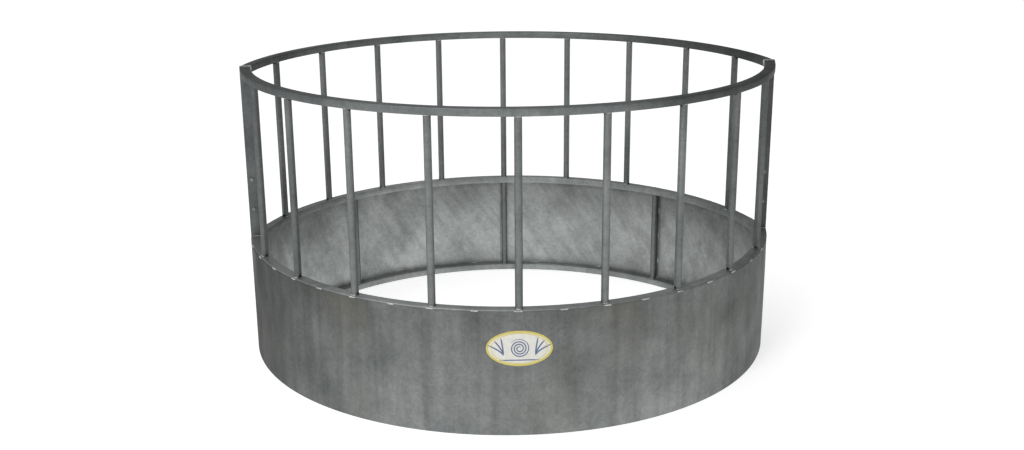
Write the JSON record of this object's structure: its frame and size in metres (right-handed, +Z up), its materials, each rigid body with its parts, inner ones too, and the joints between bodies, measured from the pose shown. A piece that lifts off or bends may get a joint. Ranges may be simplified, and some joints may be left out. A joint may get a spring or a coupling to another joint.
{
  "type": "round bale feeder",
  "caption": "Galvanised ring feeder for a round bale: two bolted half rings with a sheet skirt below and upright bars between the rails, open at the top and the foot.",
  "frame": {"origin": "on the ground at the middle of the ring", "axes": "+Z up; the two halves are bolted together at -X and +X; the labelled front half is at -Y"},
  "size_m": [2.11, 1.8344, 1.158],
  "materials": {
    "galvanised_tube": "hot-dip galvanised, dull grey with a faint spangle",
    "galvanised_bar": "hot-dip galvanised, dull grey",
    "galvanised_sheet": "hot-dip galvanised sheet, matt and mottled",
    "plated_fastener": "zinc plated",
    "printed_label": "printed vinyl"
  },
  "bodies": {
    "root": {"back_bottom_rail": "galvanised_tube", "back_mid_rail": "galvanised_tube", "back_top_rail": "galvanised_tube", "back_skirt_sheet": "galvanised_sheet", "back_left_post": "galvanised_tube", "back_right_post": "galvanised_tube", "back_upright_1": "galvanised_bar", "back_upright_2": "galvanised_bar", "back_upright_3": "galvanised_bar", "back_upright_4": "galvanised_bar", "back_upright_5": "galvanised_bar", "back_upright_6": "galvanised_bar", "back_upright_7": "galvanised_bar", "back_upright_8": "galvanised_bar", "back_upright_9": "galvanised_bar", "back_stiffener_left": "galvanised_bar", "back_stiffener_centre": "galvanised_bar", "back_stiffener_right": "galvanised_bar", "front_bottom_rail": "galvanised_tube", "front_mid_rail": "galvanised_tube", "front_top_rail": "galvanised_tube", "front_skirt_sheet": "galvanised_sheet", "front_left_post": "galvanised_tube", "front_right_post": "galvanised_tube", "front_upright_1": "galvanised_bar", "front_upright_2": "galvanised_bar", "front_upright_3": "galvanised_bar", "front_upright_4": "galvanised_bar", "front_upright_5": "galvanised_bar", "front_upright_6": "galvanised_bar", "front_upright_7": "galvanised_bar", "front_upright_8": "galvanised_bar", "front_upright_9": "galvanised_bar", "front_stiffener_left": "galvanised_bar", "front_stiffener_centre": "galvanised_bar", "front_stiffener_right": "galvanised_bar", "left_bolt_top": "plated_fastener", "left_washer_top": "plated_fastener", "left_nut_top": "plated_fastener", "left_bolt_middle": "plated_fastener", "left_washer_middle": "plated_fastener", "left_nut_middle": "plated_fastener", "left_bolt_bottom": "plated_fastener", "left_washer_bottom": "plated_fastener", "left_nut_bottom": "plated_fastener", "right_bolt_top": "plated_fastener", "right_washer_top": "plated_fastener", "right_nut_top": "plated_fastener", "right_bolt_middle": "plated_fastener", "right_washer_middle": "plated_fastener", "right_nut_middle": "plated_fastener", "right_bolt_bottom": "plated_fastener", "right_washer_bottom": "plated_fastener", "right_nut_bottom": "plated_fastener", "oval_label": "printed_label"}
  },
  "joints": []
}
